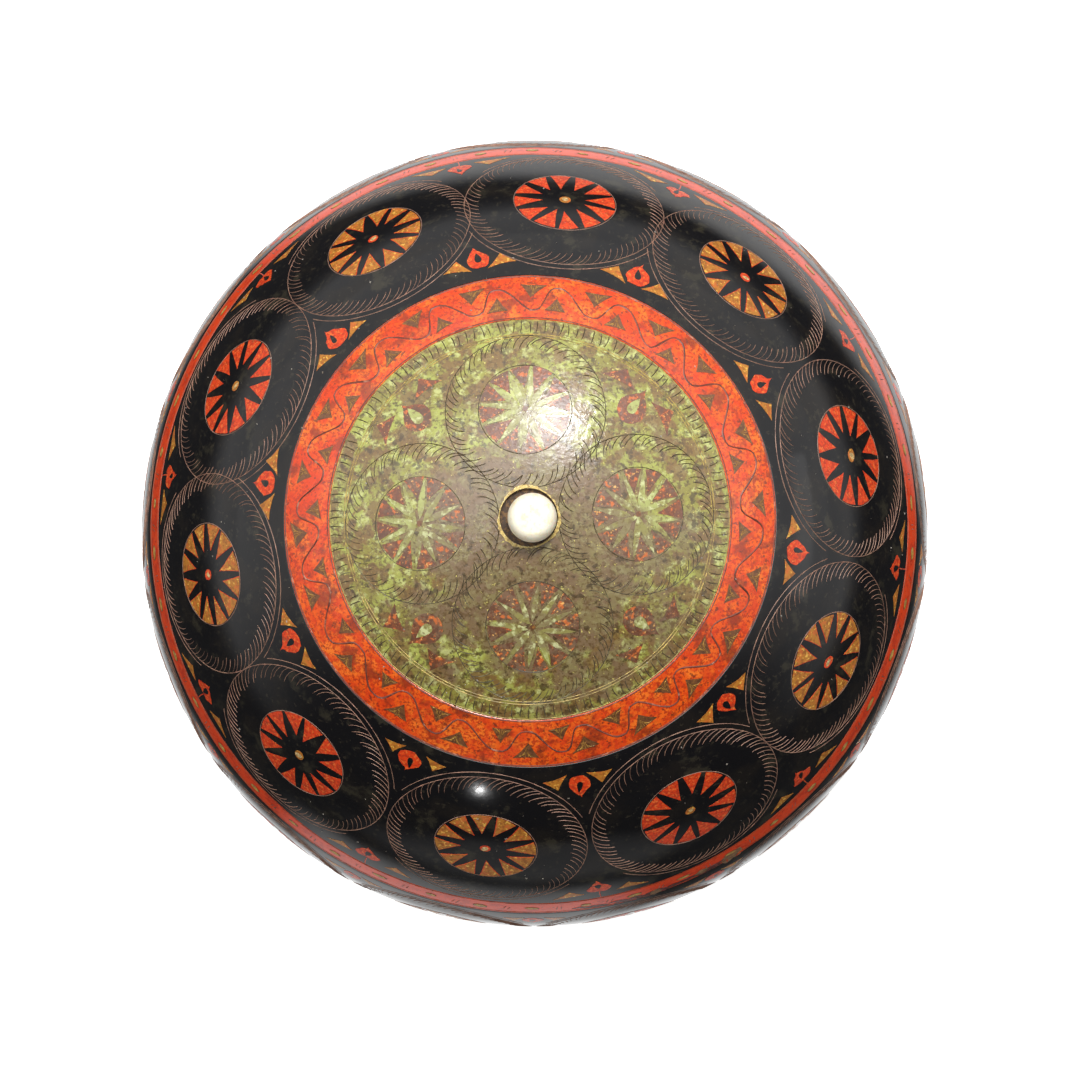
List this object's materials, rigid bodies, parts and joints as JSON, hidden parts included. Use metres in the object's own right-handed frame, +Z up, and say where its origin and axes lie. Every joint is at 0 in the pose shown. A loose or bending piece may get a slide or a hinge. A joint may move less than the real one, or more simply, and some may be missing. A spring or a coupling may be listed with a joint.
{
  "type": "covered bowl",
  "caption": "Globe-shaped turned wooden bowl with bands of incised lac, a domed lift-off lid, a small bone knob and a low foot ring.",
  "frame": {"origin": "centre of the ring the foot stands on, on the ground plane", "axes": "+Z up the turning axis; +Y is the side shown at the top when the lid is seen from above, +X its right"},
  "size_m": [0.28, 0.28, 0.2473],
  "materials": {
    "wood": "turned, bare",
    "black_lac": "friction-polished lac, gloss",
    "orange_lac": "friction-polished lac, gloss",
    "green_lac": "friction-polished lac, worn gloss",
    "red_lac": "friction-polished lac, gloss",
    "inside_lac": "thin plain lac",
    "bone": "turned and polished"
  },
  "bodies": {
    "bowl": {"bowl_core": "wood", "bowl_black_lac": "black_lac", "bowl_orange_lac": "orange_lac", "bowl_green_lac": "green_lac", "bowl_foot_lac": "black_lac", "bowl_inside_lac": "inside_lac"},
    "knob": {"knob": "bone", "knob_collar": "wood"},
    "lid": {"lid_core": "wood", "lid_green_lac": "green_lac", "lid_orange_lac": "orange_lac", "lid_black_lac": "black_lac", "lid_red_lac": "red_lac", "lid_inside_lac": "inside_lac"}
  },
  "joints": [
    {"name": "lid_lift", "type": "slide", "parent": "bowl", "child": "knob", "axis": [0, 0, 1], "range_m": [0, 0.28]},
    {"name": "lid_turn", "type": "hinge", "parent": "knob", "child": "lid", "pos_m": [0, 0, 0.2377], "axis": [0, 0, 1], "continuous": true}
  ]
}
